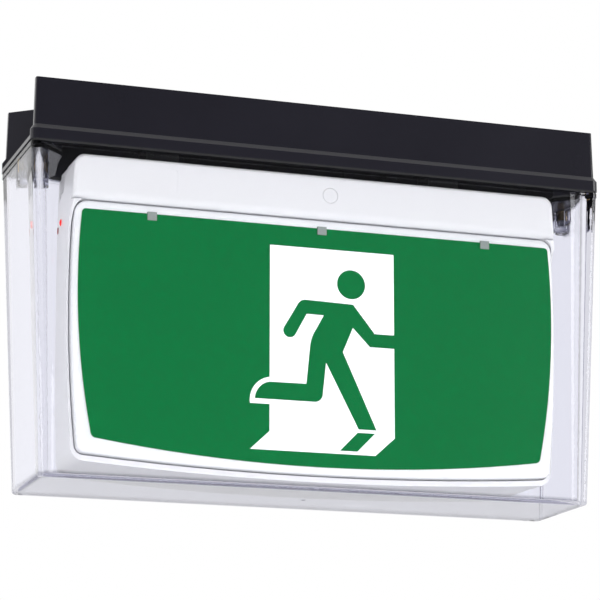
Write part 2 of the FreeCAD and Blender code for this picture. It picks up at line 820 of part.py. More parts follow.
def make_battery_pack():
    """A stick of cells end to end in a shrink sleeve."""
    y, z = battery_axis()
    half = cell_count * cell_length / 2
    sleeve = rod(cell_radius + wrap_thickness, (battery_x - half, y, z), (battery_x + half, y, z))
    ends = [edge for edge in sleeve.Edges if edge.BoundBox.XLength < 0.01]
    sleeve = sleeve.makeFillet(wrap_rounding, ends)
    for index in range(1, cell_count):
        x = battery_x - half + index * cell_length
        start, end = (x - wrap_crease / 2, y, z), (x + wrap_crease / 2, y, z)
        ring = rod(cell_radius + wrap_thickness + past, start, end)
        sleeve = sleeve.cut(ring.cut(rod(cell_radius, start, end)))
    return sleeve


def make_battery_straps():
    y, z = battery_axis()
    inner = cell_radius + wrap_thickness
    outer = inner + strap_thickness
    straps = []
    for sign in (-1, 1):
        x0 = battery_x + sign * strap_offset - strap_width / 2
        x1 = x0 + strap_width
        arch = rod(outer, (x0, y, z), (x1, y, z)).fuse(box(x0, x1, chassis_back, y, z - outer, z + outer))
        arch = arch.common(box(x0, x1, chassis_back, y + outer, z - outer, z + outer))
        feet = box(x0, x1, chassis_back, chassis_back + strap_thickness, z - outer - strap_foot,
                   z + outer + strap_foot)
        hollow = rod(inner, (x0 - past, y, z), (x1 + past, y, z))
        hollow = hollow.fuse(box(x0 - past, x1 + past, chassis_back - past, y, z - inner, z + inner))
        straps.append(arch.fuse(feet).cut(hollow).removeSplitter())
    return Part.makeCompound(straps)


def board_corners():
    half_x = board_length / 2 - standoff_inset
    half_z = board_height / 2 - standoff_inset
    return [(board_x + sx * half_x, board_z + sz * half_z) for sx in (-1, 1) for sz in (-1, 1)]


def make_board_standoffs():
    posts = [rod(standoff_radius, (x, chassis_back, z), (x, chassis_back + standoff_height, z))
             for x, z in board_corners()]
    return Part.makeCompound(posts)


def make_driver_board():
    """Circuit board with blocks and cans soldered on, placed on a grid 150 units long."""
    y0 = chassis_back + standoff_height
    y1 = y0 + board_thickness
    unit = board_length / board_grid
    parts = [box(board_x - board_length / 2, board_x + board_length / 2, y0, y1,
                 board_z - board_height / 2, board_z + board_height / 2)]
    blocks = [(-50, 12, 24, 20, 17), (-50, -16, 14, 12, 9), (48, -14, 16, 9, 10), (20, 16, 26, 10, 8),
              (62, 14, 8, 18, 11)]
    for dx, dz, length, height, tall in blocks:
        x, z = board_x + dx * unit, board_z + dz * unit
        half, rise = length * unit / 2, height * unit / 2
        parts.append(box(x - half, x + half, y0, y1 + tall * unit, z - rise, z + rise))
    cans = [(-18, 12, 6.5, 20), (-2, 12, 5, 16), (4, -16, 4, 11), (26, -14, 7, 7)]
    for dx, dz, radius, tall in cans:
        x, z = board_x + dx * unit, board_z + dz * unit
        parts.append(rod(radius * unit, (x, y0, z), (x, y1 + tall * unit, z)))
    return fuse_all(parts)


def make_terminal_block():
    z = body_top - terminal_drop
    x0 = terminal_x - terminal_length / 2
    low, high = z - terminal_height / 2, z + terminal_height / 2
    back = chassis_back + terminal_depth
    block = box(x0, x0 + terminal_length, chassis_back, back, low, high)
    step = box(x0 - past, x0 + terminal_length + past, back - terminal_step, back + past,
               high - terminal_step, high + past)
    block = block.cut(step)
    pitch = terminal_length / terminal_ways
    mouth_y = chassis_back + terminal_step
    for index in range(terminal_ways):
        x = x0 + (index + 0.5) * pitch
        screw = rod(terminal_screw_radius, (x, back - terminal_screw_depth, z), (x, back + past, z))
        mouth = box(x - terminal_mouth / 2, x + terminal_mouth / 2, mouth_y,
                    mouth_y + terminal_mouth_depth, low - past, low + terminal_mouth_depth)
        block = block.cut(screw).cut(mouth)
    return block


# lamp and test button in the left end ----------------------------------------------------------------

def flange_seat(reach):
    """Where a flange of that radius seats inside the left end wall, as a distance from the middle."""
    side = min(body_side(controls_z + reach), body_side(controls_z - reach))
    return side - body_wall - controls_seat_gap


def button_stem_end():
    return flange_seat(button_flange) - button_flange_thickness - button_stem


def switch_face():
    """Where the test switch starts, clear of the button's stem by its travel and a little more."""
    return button_stem_end() - button_travel - switch_gap


def make_indicator_lens():
    face = split_step - body_side(controls_z)
    dome = Part.makeSphere(indicator_radius, vec(face, indicator_y, controls_z))
    stem = rod(indicator_radius, (face, indicator_y, controls_z),
               (face + indicator_length, indicator_y, controls_z))
    seat = -flange_seat(indicator_flange)
    collar = rod(indicator_flange, (seat, indicator_y, controls_z),
                 (seat + indicator_flange - indicator_radius, indicator_y, controls_z))
    return fuse_all([dome, stem, collar])


def make_test_button():
    face = split_step - body_side(controls_z) - button_proud
    cap = rod(button_radius, (face, button_y, controls_z), (-button_stem_end(), button_y, controls_z))
    crown = [edge for edge in cap.Edges if edge.BoundBox.XMax < face + 0.01]
    cap = cap.makeFillet(button_radius / 4, crown)
    seat = -flange_seat(button_flange)
    flange = rod(button_flange, (seat, button_y, controls_z),
                 (seat + button_flange_thickness, button_y, controls_z))
    return cap.fuse(flange).removeSplitter()


def make_test_switch():
    x = -switch_face()
    return box(x, x + switch_size, button_y - switch_size / 2, button_y + switch_size / 2,
               controls_z - switch_size / 2, controls_z + switch_size / 2)


# hanger brackets ---------------------------------------------------------------------------------------

def hanger_foot_places():
    ys = (hanger_front_y - hanger_foot / 2, hanger_back_y + hanger_foot / 2)
    return [(sx * hanger_x, y) for sx in (-1, 1) for y in ys]


def make_hanger(sign):
    x0 = sign * hanger_x - hanger_length / 2
    x1 = x0 + hanger_length
    foot_top = body_top + hanger_thickness
    web = box(x0, x1, hanger_front_y, hanger_back_y, hanger_web_z - hanger_thickness, hanger_web_z)
    legs = [box(x0, x1, y, y + hanger_thickness, body_top - split_step, hanger_web_z)
            for y in (hanger_front_y, hanger_back_y - hanger_thickness)]
    foot_low = body_top - split_step
    feet = [box(x0, x1, hanger_front_y - hanger_foot, hanger_front_y + hanger_thickness, foot_low,
                foot_low + hanger_thickness),
            box(x0, x1, hanger_back_y - hanger_thickness, hanger_back_y + hanger_foot, foot_low,
                foot_low + hanger_thickness)]
    bracket = fuse_all([web] + legs + feet)
    holes = [rod(hanger_screw_radius + shank_gap, (x, y, hanger_web_z - hanger_thickness - past),
                 (x, y, hanger_web_z + past)) for x, y in hanger_boss_places() if x * sign > 0]
    holes += [rod(hanger_screw_radius + shank_gap, (x, y, foot_low - past), (x, y, foot_top + past))
              for x, y in hanger_foot_places() if x * sign > 0]
    return bracket.cut(Part.makeCompound(holes)).removeSplitter()


def make_hanger_screws():
    up = [(x, y, hanger_web_z - hanger_thickness) for x, y in hanger_boss_places()]
    down = [(x, y, body_top - split_step + hanger_thickness) for x, y in hanger_foot_places()]
    sizes = (hanger_screw_radius, hanger_screw_length, hanger_head_radius, hanger_head_height)
    upper = screw_group(up, *sizes, EZ)
    lower = screw_group(down, *sizes, EZ * -1)
    return Part.makeCompound(upper.Solids + lower.Solids)


nodes = {
    "base_tray": make_base_tray(),
    "tray_gasket": make_tray_gasket(),
    "clear_cover": make_clear_cover(),
    "cover_screws": make_cover_screws(),
    "cover_screw_washers": make_ring_pair(washer_radius, screw_radius + shank_gap, floor_top,
                                          floor_top + washer_thickness),
    "cover_inserts": make_ring_pair(insert_radius, screw_radius + thread_gap,
                                    rim_top - insert_length, rim_top),
    "hanger_bracket_left": make_hanger(-1),
    "hanger_bracket_right": make_hanger(1),
    "hanger_screws": make_hanger_screws(),
    "front_frame": make_front_frame(),
    "centre_plug": make_centre_plug(),
    "rear_housing": make_rear_housing(),
    "diffuser": make_diffuser(),
    "legend_panel": make_legend_panel(),
    "legend_print": make_legend_print(),
    "legend_clips": make_legend_clips(),
    "light_guide": make_light_guide(),
    "reflector_sheet": make_reflector(),
    "led_strip": make_led_strip(),
    "chassis_plate": make_chassis_plate(),
    "chassis_screws": make_chassis_screws(),
    "battery_pack": make_battery_pack(),
    "battery_straps": make_battery_straps(),
    "board_standoffs": make_board_standoffs(),
    "driver_board": make_driver_board(),
    "terminal_block": make_terminal_block(),
    "indicator_lens": make_indicator_lens(),
    "test_button": make_test_button(),
    "test_switch": make_test_switch(),
}

os.makedirs("parts", exist_ok=True)
for name, shape in nodes.items():
    shape.exportStep(os.path.join("parts", name + ".step"))
    bounds = shape.BoundBox
    print(f"{name:22s} solids {len(shape.Solids):2d} valid {shape.isValid()} "
          f"x {bounds.XMin:.1f}..{bounds.XMax:.1f} y {bounds.YMin:.1f}..{bounds.YMax:.1f} "
          f"z {bounds.ZMin:.1f}..{bounds.ZMax:.1f}")
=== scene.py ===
import math

import bmesh
import bpy
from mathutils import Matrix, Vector


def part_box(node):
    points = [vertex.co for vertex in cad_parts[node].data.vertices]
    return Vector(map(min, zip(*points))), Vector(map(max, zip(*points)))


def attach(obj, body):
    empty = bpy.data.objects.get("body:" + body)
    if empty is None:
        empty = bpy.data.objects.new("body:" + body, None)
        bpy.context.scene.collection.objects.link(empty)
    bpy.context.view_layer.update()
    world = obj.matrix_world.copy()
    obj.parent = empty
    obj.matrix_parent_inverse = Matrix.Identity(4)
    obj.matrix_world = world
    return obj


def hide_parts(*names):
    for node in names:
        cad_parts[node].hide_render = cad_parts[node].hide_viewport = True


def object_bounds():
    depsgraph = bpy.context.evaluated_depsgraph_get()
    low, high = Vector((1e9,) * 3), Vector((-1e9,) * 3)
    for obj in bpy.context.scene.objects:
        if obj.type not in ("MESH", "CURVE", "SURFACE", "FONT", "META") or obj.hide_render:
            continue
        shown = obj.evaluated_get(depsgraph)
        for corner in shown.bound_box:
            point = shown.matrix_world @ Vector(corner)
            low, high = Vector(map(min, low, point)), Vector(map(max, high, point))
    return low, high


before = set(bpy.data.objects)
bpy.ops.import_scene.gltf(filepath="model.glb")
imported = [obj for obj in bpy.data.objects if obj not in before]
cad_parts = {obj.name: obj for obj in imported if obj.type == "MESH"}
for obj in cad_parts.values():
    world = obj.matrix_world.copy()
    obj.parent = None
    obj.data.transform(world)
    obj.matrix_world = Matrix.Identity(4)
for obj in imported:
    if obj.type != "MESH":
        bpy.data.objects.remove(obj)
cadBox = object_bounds()
print("frame loaded:", len(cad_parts), "nodes")


# Small node helpers.

def newMaterial(name):
    mat = bpy.data.materials.new(name)
    mat.use_nodes = True
    mat.node_tree.nodes.clear()
    return mat


def addNode(tree, kind, x=0, y=0, **values):
    node = tree.nodes.new(kind)
    node.location = (x, y)
    for key, value in values.items():
        setattr(node, key, value)
    return node


def principled(mat, **inputs):  # a Principled shader on the output, with plain values set on its sockets
    tree = mat.node_tree
    shader = addNode(tree, "ShaderNodeBsdfPrincipled", 200, 0)
    out = addNode(tree, "ShaderNodeOutputMaterial", 700, 0)
    tree.links.new(shader.outputs["BSDF"], out.inputs["Surface"])
    for key, value in inputs.items():
        shader.inputs[key].default_value = value
    return shader


def rgba(color):
    return (color[0], color[1], color[2], 1.0)


def placeGroup(mat, group, **inputs):
    node = addNode(mat.node_tree, "ShaderNodeGroup", -300, 0)
    node.node_tree = group
    for key, value in inputs.items():
        node.inputs[key].default_value = value
    return node


def newGroup(name, inputs, outputs):  # inputs are (name, socket type, default), outputs the first two
    group = bpy.data.node_groups.new(name, "ShaderNodeTree")
    for socketName, socketType, default in inputs:
        socket = group.interface.new_socket(name=socketName, in_out="INPUT", socket_type=socketType)
        socket.default_value = default
    for socketName, socketType in outputs:
        group.interface.new_socket(name=socketName, in_out="OUTPUT", socket_type=socketType)
    source = addNode(group, "NodeGroupInput", -900, 0)
    sink = addNode(group, "NodeGroupOutput", 700, 0)
    return group, source, sink


# Effects that several materials share, each a node group.

def buildMouldedSkin():  # fine spark texture of a moulding, with a slow drift in colour and gloss
    driftScale, driftDetail, grainDetail = 9.0, 3.0, 2.0
    group, source, sink = newGroup(
        "mouldedSkin",
        [("Color", "NodeSocketColor", (0.8, 0.8, 0.8, 1)), ("Drift", "NodeSocketFloat", 0.05),
         ("Grain Size", "NodeSocketFloat", 0.0008), ("Grain Depth", "NodeSocketFloat", 0.00001),
         ("Roughness", "NodeSocketFloat", 0.35), ("Gloss Drift", "NodeSocketFloat", 0.06)],
        [("Color", "NodeSocketColor"), ("Roughness", "NodeSocketFloat"), ("Normal", "NodeSocketVector")])
    link = group.links.new
    coords = addNode(group, "ShaderNodeTexCoord", -900, -300)
    slow = addNode(group, "ShaderNodeTexNoise", -600, 200)
    slow.inputs["Scale"].default_value = driftScale
    slow.inputs["Detail"].default_value = driftDetail
    link(coords.outputs["Object"], slow.inputs["Vector"])
    centred = addNode(group, "ShaderNodeMath", -400, 200, operation="SUBTRACT")
    link(slow.outputs["Fac"], centred.inputs[0])
    centred.inputs[1].default_value = 0.5  # the middle of the noise
    shade = addNode(group, "ShaderNodeMath", -200, 260, operation="MULTIPLY_ADD")
    link(centred.outputs[0], shade.inputs[0])
    link(source.outputs["Drift"], shade.inputs[1])
    shade.inputs[2].default_value = 1.0
    tone = addNode(group, "ShaderNodeVectorMath", 0, 260, operation="SCALE")
    link(source.outputs["Color"], tone.inputs[0])
    link(shade.outputs[0], tone.inputs["Scale"])
    rough = addNode(group, "ShaderNodeMath", 0, 80, operation="MULTIPLY_ADD")
    link(centred.outputs[0], rough.inputs[0])
    link(source.outputs["Gloss Drift"], rough.inputs[1])
    link(source.outputs["Roughness"], rough.inputs[2])
    density = addNode(group, "ShaderNodeMath", -600, -120, operation="DIVIDE")
    density.inputs[0].default_value = 1.0
    link(source.outputs["Grain Size"], density.inputs[1])
    grain = addNode(group, "ShaderNodeTexNoise", -400, -160)
    grain.inputs["Detail"].default_value = grainDetail
    link(coords.outputs["Object"], grain.inputs["Vector"])
    link(density.outputs[0], grain.inputs["Scale"])
    bump = addNode(group, "ShaderNodeBump", 0, -160)
    bump.inputs["Strength"].default_value = 1.0
    link(source.outputs["Grain Depth"], bump.inputs["Distance"])
    link(grain.outputs["Fac"], bump.inputs["Height"])
    link(tone.outputs[0], sink.inputs["Color"])
    link(rough.outputs[0], sink.inputs["Roughness"])
    link(bump.outputs["Normal"], sink.inputs["Normal"])
    return group


def buildPaintedEdgeLight():  # painted highlight and shade: another colour along the edges, where a rounded normal leaves the real one
    flatCosine, edgeCosine = 0.995, 0.80
    group, source, sink = newGroup(
        "paintedEdgeLight",
        [("Color", "NodeSocketColor", (0.1, 0.1, 0.1, 1)),
         ("Edge Color", "NodeSocketColor", (0.2, 0.2, 0.2, 1)),
         ("Width", "NodeSocketFloat", 0.0006), ("Amount", "NodeSocketFloat", 0.5)],
        [("Color", "NodeSocketColor")])
    link = group.links.new
    bevel = addNode(group, "ShaderNodeBevel", -600, 0, samples=6)
    link(source.outputs["Width"], bevel.inputs["Radius"])
    geometry = addNode(group, "ShaderNodeNewGeometry", -600, -200)
    turned = addNode(group, "ShaderNodeVectorMath", -400, 0, operation="DOT_PRODUCT")
    link(bevel.outputs["Normal"], turned.inputs[0])
    link(geometry.outputs["Normal"], turned.inputs[1])
    edge = addNode(group, "ShaderNodeMapRange", -200, 0)
    edge.inputs["From Min"].default_value = flatCosine
    edge.inputs["From Max"].default_value = edgeCosine
    link(turned.outputs["Value"], edge.inputs["Value"])
    amount = addNode(group, "ShaderNodeMath", 0, -60, operation="MULTIPLY")
    link(edge.outputs["Result"], amount.inputs[0])
    link(source.outputs["Amount"], amount.inputs[1])
    mix = addNode(group, "ShaderNodeMix", 200, 0, data_type="RGBA")
    link(amount.outputs[0], mix.inputs["Factor"])
    link(source.outputs["Color"], mix.inputs["A"])
    link(source.outputs["Edge Color"], mix.inputs["B"])
    link(mix.outputs["Result"], sink.inputs["Color"])
    return group


def buildDrawnMetal():  # fine lines along one axis, as rolled sheet or turned wire has
    stretchAlong, lineDetail, darkest, lightest, roughSpread = 0.03, 3.0, 0.82, 1.12, 0.14
    group, source, sink = newGroup(
        "drawnMetal",
        [("Color", "NodeSocketColor", (0.6, 0.6, 0.6, 1)), ("Roughness", "NodeSocketFloat", 0.35),
         ("Line Size", "NodeSocketFloat", 0.0004), ("Depth", "NodeSocketFloat", 0.00001)],
        [("Color", "NodeSocketColor"), ("Roughness", "NodeSocketFloat"), ("Normal", "NodeSocketVector")])
    link = group.links.new
    coords = addNode(group, "ShaderNodeTexCoord", -900, -300)
    stretch = addNode(group, "ShaderNodeMapping", -700, -300)
    stretch.inputs["Scale"].default_value = (stretchAlong, 1.0, 1.0)
    link(coords.outputs["Object"], stretch.inputs["Vector"])
    density = addNode(group, "ShaderNodeMath", -700, -60, operation="DIVIDE")
    density.inputs[0].default_value = 1.0
    link(source.outputs["Line Size"], density.inputs[1])
    lines = addNode(group, "ShaderNodeTexNoise", -450, -160)
    lines.inputs["Detail"].default_value = lineDetail
    link(stretch.outputs["Vector"], lines.inputs["Vector"])
    link(density.outputs[0], lines.inputs["Scale"])
    shade = addNode(group, "ShaderNodeMapRange", -200, 200)
    shade.inputs["To Min"].default_value = darkest
    shade.inputs["To Max"].default_value = lightest
    link(lines.outputs["Fac"], shade.inputs["Value"])
    tone = addNode(group, "ShaderNodeVectorMath", 0, 200, operation="SCALE")
    link(source.outputs["Color"], tone.inputs[0])
    link(shade.outputs["Result"], tone.inputs["Scale"])
    rough = addNode(group, "ShaderNodeMath", 0, 40, operation="MULTIPLY_ADD")
    link(lines.outputs["Fac"], rough.inputs[0])
    rough.inputs[1].default_value = roughSpread
    link(source.outputs["Roughness"], rough.inputs[2])
    bump = addNode(group, "ShaderNodeBump", 0, -160)
    link(source.outputs["Depth"], bump.inputs["Distance"])
    link(lines.outputs["Fac"], bump.inputs["Height"])
    link(tone.outputs[0], sink.inputs["Color"])
    link(rough.outputs[0], sink.inputs["Roughness"])
    link(bump.outputs["Normal"], sink.inputs["Normal"])
    return group


mouldedSkin = buildMouldedSkin()
paintedEdgeLight = buildPaintedEdgeLight()
drawnMetal = buildDrawnMetal()
print("shared effects ready")


# Finishes.

def linkFinish(mat, shader, group):  # the group's colour, roughness and normal go to the shader
    for socket, target in (("Color", "Base Color"), ("Roughness", "Roughness"), ("Normal", "Normal")):
        mat.node_tree.links.new(group.outputs[socket], shader.inputs[target])


def mouldedPlastic(name, color, rough=0.35, drift=0.05, grainSize=0.0008, grainDepth=0.00001, shader=None):
    mat = newMaterial(name)
    surface = principled(mat, **(shader or {}))
    linkFinish(mat, surface, placeGroup(mat, mouldedSkin, **{
        "Color": rgba(color), "Drift": drift, "Grain Size": grainSize, "Grain Depth": grainDepth,
        "Roughness": rough}))
    return mat


def sheetMetal(name, color, rough=0.35, lineSize=0.0004, lineDepth=0.00001):
    mat = newMaterial(name)
    surface = principled(mat, Metallic=1.0)
    linkFinish(mat, surface, placeGroup(mat, drawnMetal, **{
        "Color": rgba(color), "Roughness": rough, "Line Size": lineSize, "Depth": lineDepth}))
    return mat


def addPaintedEdgeLight(mat, edgeColor, width, amount):  # slips the painted edge light in before the base colour
    tree = mat.node_tree
    shader = next(n for n in tree.nodes if n.type == "BSDF_PRINCIPLED")
    before = shader.inputs["Base Color"].links[0].from_socket
    edges = placeGroup(mat, paintedEdgeLight, **{"Edge Color": rgba(edgeColor), "Width": width, "Amount": amount})
    tree.links.new(before, edges.inputs["Color"])
    tree.links.new(edges.outputs["Color"], shader.inputs["Base Color"])


# Lamps reach what is behind the clear plastic. Light that was led further inside its walls than a number
# of turns goes straight out with a grey tint, so long ways inside show as grey edges.
def letLampsThrough(mat, turns, lampTint, ledTint):
    tree = mat.node_tree
    shader = next(n for n in tree.nodes if n.type == "BSDF_PRINCIPLED")
    out = next(n for n in tree.nodes if n.type == "OUTPUT_MATERIAL")
    path = addNode(tree, "ShaderNodeLightPath", 0, 300)
    led = addNode(tree, "ShaderNodeMath", 200, 200, operation="GREATER_THAN")
    tree.links.new(path.outputs["Ray Depth"], led.inputs[0])
    led.inputs[1].default_value = turns + 0.5  # between one whole number of turns and the next
    passed = addNode(tree, "ShaderNodeMath", 350, 200, operation="MAXIMUM")
    tree.links.new(path.outputs["Is Shadow Ray"], passed.inputs[0])
    tree.links.new(led.outputs[0], passed.inputs[1])
    shade = addNode(tree, "ShaderNodeMix", 0, -400, data_type="RGBA")
    tree.links.new(led.outputs[0], shade.inputs["Factor"])
    shade.inputs["A"].default_value = rgba(lampTint)
    shade.inputs["B"].default_value = rgba(ledTint)
    through = addNode(tree, "ShaderNodeBsdfTransparent", 200, -400)
    tree.links.new(shade.outputs["Result"], through.inputs["Color"])
    mix = addNode(tree, "ShaderNodeMixShader", 500, 0)
    tree.links.new(passed.outputs[0], mix.inputs["Fac"])
    tree.links.new(shader.outputs["BSDF"], mix.inputs[1])
    tree.links.new(through.outputs["BSDF"], mix.inputs[2])
    tree.links.new(mix.outputs["Shader"], out.inputs["Surface"])


def dress(mat, *nodes):
    for node in nodes:
        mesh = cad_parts[node].data
        mesh.materials.clear()
        mesh.materials.append(mat)


# Tray and seal.

tray = {"finish": {"color": (0.0135, 0.013, 0.019), "rough": 0.22, "drift": 0.5, "grainSize": 0.0007,
                   "grainDepth": 0.000012, "shader": {"Specular IOR Level": 0.5}},
        "edges": {"edgeColor": (0.06, 0.06, 0.07), "width": 0.0007, "amount": 0.6}}
seal = {"color": (0.02, 0.02, 0.021), "rough": 0.75, "drift": 0.3, "grainSize": 0.0005,
        "grainDepth": 0.00003}

trayBlack = mouldedPlastic("trayBlack", **tray["finish"])
# The lighter colour along the tray's edges is a painted highlight.
addPaintedEdgeLight(trayBlack, **tray["edges"])
dress(trayBlack, "base_tray")
dress(mouldedPlastic("sealRubber", **seal), "tray_gasket")
print("tray dressed")


# Clear cover, painted a little darker along its edges: painted shade for the dark lines its rounded edges
# show.

cover = {"tint": (0.955, 0.958, 0.985), "rough": 0.01, "ior": 1.4, "waveSize": 0.06, "waveDepth": 0.00006,
         "edge": (0.12, 0.12, 0.16), "edgeWidth": 0.0055,
         "passing": {"turns": 4, "lampTint": (0.945, 0.945, 0.95), "ledTint": (0.74, 0.74, 0.8)}}

coverClear = newMaterial("coverClear")
coverShader = principled(coverClear, **{"Base Color": rgba(cover["tint"]), "Roughness": cover["rough"],
                                        "IOR": cover["ior"], "Transmission Weight": 1.0})
coverWave = placeGroup(coverClear, mouldedSkin, **{"Grain Size": cover["waveSize"],
                                                   "Grain Depth": cover["waveDepth"]})
coverEdgeShade = placeGroup(coverClear, paintedEdgeLight, **{
    "Color": rgba(cover["tint"]), "Edge Color": rgba(cover["edge"]), "Width": cover["edgeWidth"],
    "Amount": 1.0})
coverClear.node_tree.links.new(coverWave.outputs["Normal"], coverShader.inputs["Normal"])
coverClear.node_tree.links.new(coverEdgeShade.outputs["Color"], coverShader.inputs["Base Color"])
letLampsThrough(coverClear, **cover["passing"])
dress(coverClear, "clear_cover")
print("cover dressed")


# Sign body, lens and legend. The legend's white print glows a little, as it does when the sign is lit.

body = {"color": (0.79, 0.79, 0.79), "rough": 0.3, "drift": 0.02, "grainSize": 0.0009,
        "grainDepth": 0.000006}
lens = {"color": (0.845, 0.855, 0.855), "rough": 0.18, "drift": 0.02, "grainSize": 0.004,
        "grainDepth": 0.00001,
        "shader": {"Subsurface Weight": 0.25, "Subsurface Radius": (0.004, 0.004, 0.004)}}
field = {"color": (0.0, 0.158, 0.038), "rough": 0.3, "drift": 0.03, "grainSize": 0.003,
         "grainDepth": 0.000004, "shader": {"Specular IOR Level": 0.1}}
legendInk = {"color": (0.93, 0.95, 0.94), "rough": 0.3, "drift": 0.01, "grainSize": 0.003,
             "grainDepth": 0.000004,
             "shader": {"Emission Color": (1.0, 1.0, 1.0, 1.0), "Emission Strength": 0.26}}
clip = {"color": (0.42, 0.47, 0.44), "rough": 0.2, "drift": 0.1, "grainSize": 0.002, "grainDepth": 0.00001,
        "shader": {"Transmission Weight": 0.35}}

dress(mouldedPlastic("bodyWhite", **body), "front_frame", "rear_housing", "centre_plug")
dress(mouldedPlastic("lensOpal", **lens), "diffuser")
dress(mouldedPlastic("legendGreen", **field), "legend_panel")
dress(mouldedPlastic("legendWhite", **legendInk), "legend_print")
dress(mouldedPlastic("clipGrey", **clip), "legend_clips")
print("sign body dressed")


# Lamp, button and switch in the left end.

lamp = {"color": (0.75, 0.02, 0.015), "rough": 0.12, "drift": 0.15, "grainSize": 0.002,
        "grainDepth": 0.00002,
        "shader": {"Transmission Weight": 0.3, "Emission Color": (1.0, 0.03, 0.02, 1.0),
                   "Emission Strength": 0.35}}
button = {"color": (0.3, 0.012, 0.012), "rough": 0.35, "drift": 0.1, "grainSize": 0.0006,
          "grainDepth": 0.00001}
switch = {"color": (0.02, 0.02, 0.022), "rough": 0.45, "drift": 0.2}

dress(mouldedPlastic("lampRed", **lamp), "indicator_lens")
dress(mouldedPlastic("buttonRed", **button), "test_button")
dress(mouldedPlastic("switchBlack", **switch), "test_switch")
print("controls dressed")


# Brackets, screws, inserts and the plate.

bracket = {"color": (0.02, 0.02, 0.023), "rough": 0.4, "drift": 0.4, "grainSize": 0.0006,
           "grainDepth": 0.00002}
steel = {"color": (0.6, 0.6, 0.58), "rough": 0.26, "lineSize": 0.0003}
brass = {"color": (0.76, 0.56, 0.25), "rough": 0.22, "lineSize": 0.0003}
plate = {"color": (0.78, 0.78, 0.77), "rough": 0.4, "drift": 0.03, "grainSize": 0.0012,
         "grainDepth": 0.00002}

dress(mouldedPlastic("bracketBlack", **bracket), "hanger_bracket_left", "hanger_bracket_right")
screwSteel = sheetMetal("screwSteel", **steel)
dress(screwSteel, "hanger_screws", "chassis_screws", "cover_screws", "cover_screw_washers")
insertBrass = sheetMetal("insertBrass", **brass)
dress(insertBrass, "cover_inserts")
dress(mouldedPlastic("gearPaint", **plate), "chassis_plate")
print("metal dressed")


# Cover screws and their inserts, drawn again with their threads and knurls.

sharpAngle = 35
screw = {"around": 48, "headRadius": 0.0044, "headHeight": 0.0042, "crown": 0.0008, "crownSteps": 4,
         "socket": 0.0022, "socketDepth": 0.0021, "crest": 0.0025, "root": 0.00212, "pitch": 0.0008,
         "turnSteps": 8, "tipTurns": 2}
insert = {"around": 60, "outer": 0.0034, "valley": 0.00315, "bore": 0.00256, "collar": 0.0008,
          "collarStep": 0.0001, "grooveWall": 0.0003, "bandGap": 0.0012, "bandSlope": 0.0002, "twist": 0.5}


def screwEnds(node):  # for each of the two pieces in a CAD node its middle, lowest z and highest z
    low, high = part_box(node)
    reach = min(high[0] - low[0], high[1] - low[1]) / 2
    return [((x, (low[1] + high[1]) / 2), low[2], high[2]) for x in (low[0] + reach, high[0] - reach)]


def addRing(shape, middle, z, radii, twist=0.0):  # points round the middle, each at its own radius
    ring = []
    for index, radius in enumerate(radii):
        turn = 2 * math.pi * index / len(radii) + twist
        point = (middle[0] + radius * math.cos(turn), middle[1] + radius * math.sin(turn), z)
        ring.append(shape.verts.new(point))
    return ring


def bridge(shape, rings):  # faces from each ring to the next
    for first, second in zip(rings, rings[1:]):
        for index in range(len(first)):
            after = (index + 1) % len(first)
            shape.faces.new((first[index], first[after], second[after], second[index]))


def hexRadii(radius, count):  # how far a hexagon reaches, in as many directions as the rings beside it have
    flat = radius * math.cos(math.pi / 6)
    radii = []
    for index in range(count):
        turn = 2 * math.pi * index / count
        fromCorner = (turn + math.pi / 6) % (math.pi / 3) - math.pi / 6
        radii.append(flat / math.cos(math.pi / 6 - abs(fromCorner)))
    return radii


def threadRadii(rise, count):  # a ridge that climbs one pitch in a turn and fades towards the tip
    depth = screw["crest"] - screw["root"]
    tipTaper = min(1.0, rise / (screw["tipTurns"] * screw["pitch"]))
    radii = []
    for index in range(count):
        phase = (rise / screw["pitch"] - index / count) % 1.0
        ridge = 1 - abs(2 * phase - 1)
        radii.append(screw["root"] + depth * ridge * tipTaper)
    return radii


def finishPiece(name, shape, mat, *replaced):
    bmesh.ops.recalc_face_normals(shape, faces=shape.faces)
    for face in shape.faces:
        face.smooth = True
    mesh = bpy.data.meshes.new(name)
    shape.to_mesh(mesh)
    shape.free()
    mesh.set_sharp_from_angle(angle=math.radians(sharpAngle))
    piece = bpy.data.objects.new(name, mesh)
    bpy.context.scene.collection.objects.link(piece)
    mesh.materials.append(mat)
    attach(piece, "light")
    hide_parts(*replaced)


def buildScrews():  # socket-head screws with a real thread on the shank
    shape = bmesh.new()
    count = screw["around"]
    crown, outer = screw["crown"], screw["headRadius"]
    for middle, low, high in screwEnds("cover_screws"):
        seat = high - screw["headHeight"]
        length = seat - low
        steps = int(length / screw["pitch"] * screw["turnSteps"])
        rings = []
        for step in range(steps + 1):
            z = low + length * step / steps
            rings.append(addRing(shape, middle, z, threadRadii(z - low, count)))
        shape.faces.new(rings[0])
        profile = [(outer, seat), (outer, high - crown)]
        for step in range(1, screw["crownSteps"] + 1):
            turn = math.pi / 2 * step / screw["crownSteps"]
            profile.append((outer - crown + crown * math.cos(turn), high - crown + crown * math.sin(turn)))
        for radius, z in profile:
            rings.append(addRing(shape, middle, z, [radius] * count))
        for z in (high, high - screw["socketDepth"]):
            rings.append(addRing(shape, middle, z, hexRadii(screw["socket"], count)))
        shape.faces.new(rings[-1])
        bridge(shape, rings)
    finishPiece("threadedCoverScrews", shape, screwSteel, "cover_screws")


